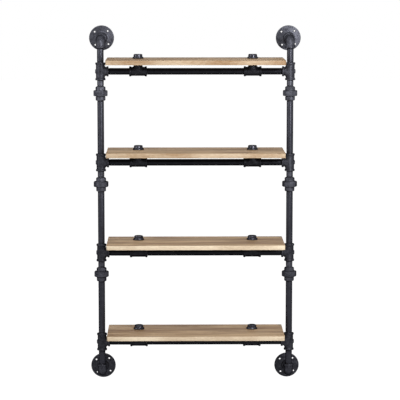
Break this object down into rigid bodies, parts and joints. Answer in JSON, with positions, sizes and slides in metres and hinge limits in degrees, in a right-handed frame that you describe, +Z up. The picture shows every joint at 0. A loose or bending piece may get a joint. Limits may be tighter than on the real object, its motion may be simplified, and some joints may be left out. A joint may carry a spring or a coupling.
{
  "type": "wall-mounted pipe shelving unit",
  "caption": "Wall-hung shelving unit: black iron pipe posts with round wall flanges, tees and unions carry level oak boards on pipe rails.",
  "frame": {"origin": "on the wall plane, midway between the two posts and halfway up them", "axes": "+Z up, +Y into the wall, so the shelves face -Y, and +X to the right as seen from the front"},
  "size_m": [0.6862, 0.25, 1.161],
  "materials": {
    "fitting_iron": "sandy black malleable iron, matte with a soft sheen",
    "pipe_steel": "black lacquered steel pipe, satin",
    "board_oak": "pale oiled oak, grain along the board"
  },
  "bodies": {
    "root": {"wall_flange_top_left": "fitting_iron", "wall_nipple_top_left": "pipe_steel", "elbow_top_left": "fitting_iron", "post_pipe_top_left": "pipe_steel", "wall_flange_bottom_left": "fitting_iron", "wall_nipple_bottom_left": "pipe_steel", "elbow_bottom_left": "fitting_iron", "post_pipe_bottom_left": "pipe_steel", "post_tee_left_1": "fitting_iron", "union_left_1": "fitting_iron", "post_pipe_left_1": "pipe_steel", "post_tee_left_2": "fitting_iron", "union_left_2": "fitting_iron", "post_pipe_left_2": "pipe_steel", "post_tee_left_3": "fitting_iron", "union_left_3": "fitting_iron", "post_pipe_left_3": "pipe_steel", "post_tee_left_4": "fitting_iron", "wall_flange_top_right": "fitting_iron", "wall_nipple_top_right": "pipe_steel", "elbow_top_right": "fitting_iron", "post_pipe_top_right": "pipe_steel", "wall_flange_bottom_right": "fitting_iron", "wall_nipple_bottom_right": "pipe_steel", "elbow_bottom_right": "fitting_iron", "post_pipe_bottom_right": "pipe_steel", "post_tee_right_1": "fitting_iron", "union_right_1": "fitting_iron", "post_pipe_right_1": "pipe_steel", "post_tee_right_2": "fitting_iron", "union_right_2": "fitting_iron", "post_pipe_right_2": "pipe_steel", "post_tee_right_3": "fitting_iron", "union_right_3": "fitting_iron", "post_pipe_right_3": "pipe_steel", "post_tee_right_4": "fitting_iron", "rail_1": "pipe_steel", "board_1": "board_oak", "rail_tee_left_1": "fitting_iron", "cap_left_1": "fitting_iron", "rail_tee_right_1": "fitting_iron", "cap_right_1": "fitting_iron", "rail_2": "pipe_steel", "board_2": "board_oak", "rail_tee_left_2": "fitting_iron", "cap_left_2": "fitting_iron", "rail_tee_right_2": "fitting_iron", "cap_right_2": "fitting_iron", "rail_3": "pipe_steel", "board_3": "board_oak", "rail_tee_left_3": "fitting_iron", "cap_left_3": "fitting_iron", "rail_tee_right_3": "fitting_iron", "cap_right_3": "fitting_iron", "rail_4": "pipe_steel", "board_4": "board_oak", "rail_tee_left_4": "fitting_iron", "cap_left_4": "fitting_iron", "rail_tee_right_4": "fitting_iron", "cap_right_4": "fitting_iron"}
  },
  "joints": []
}
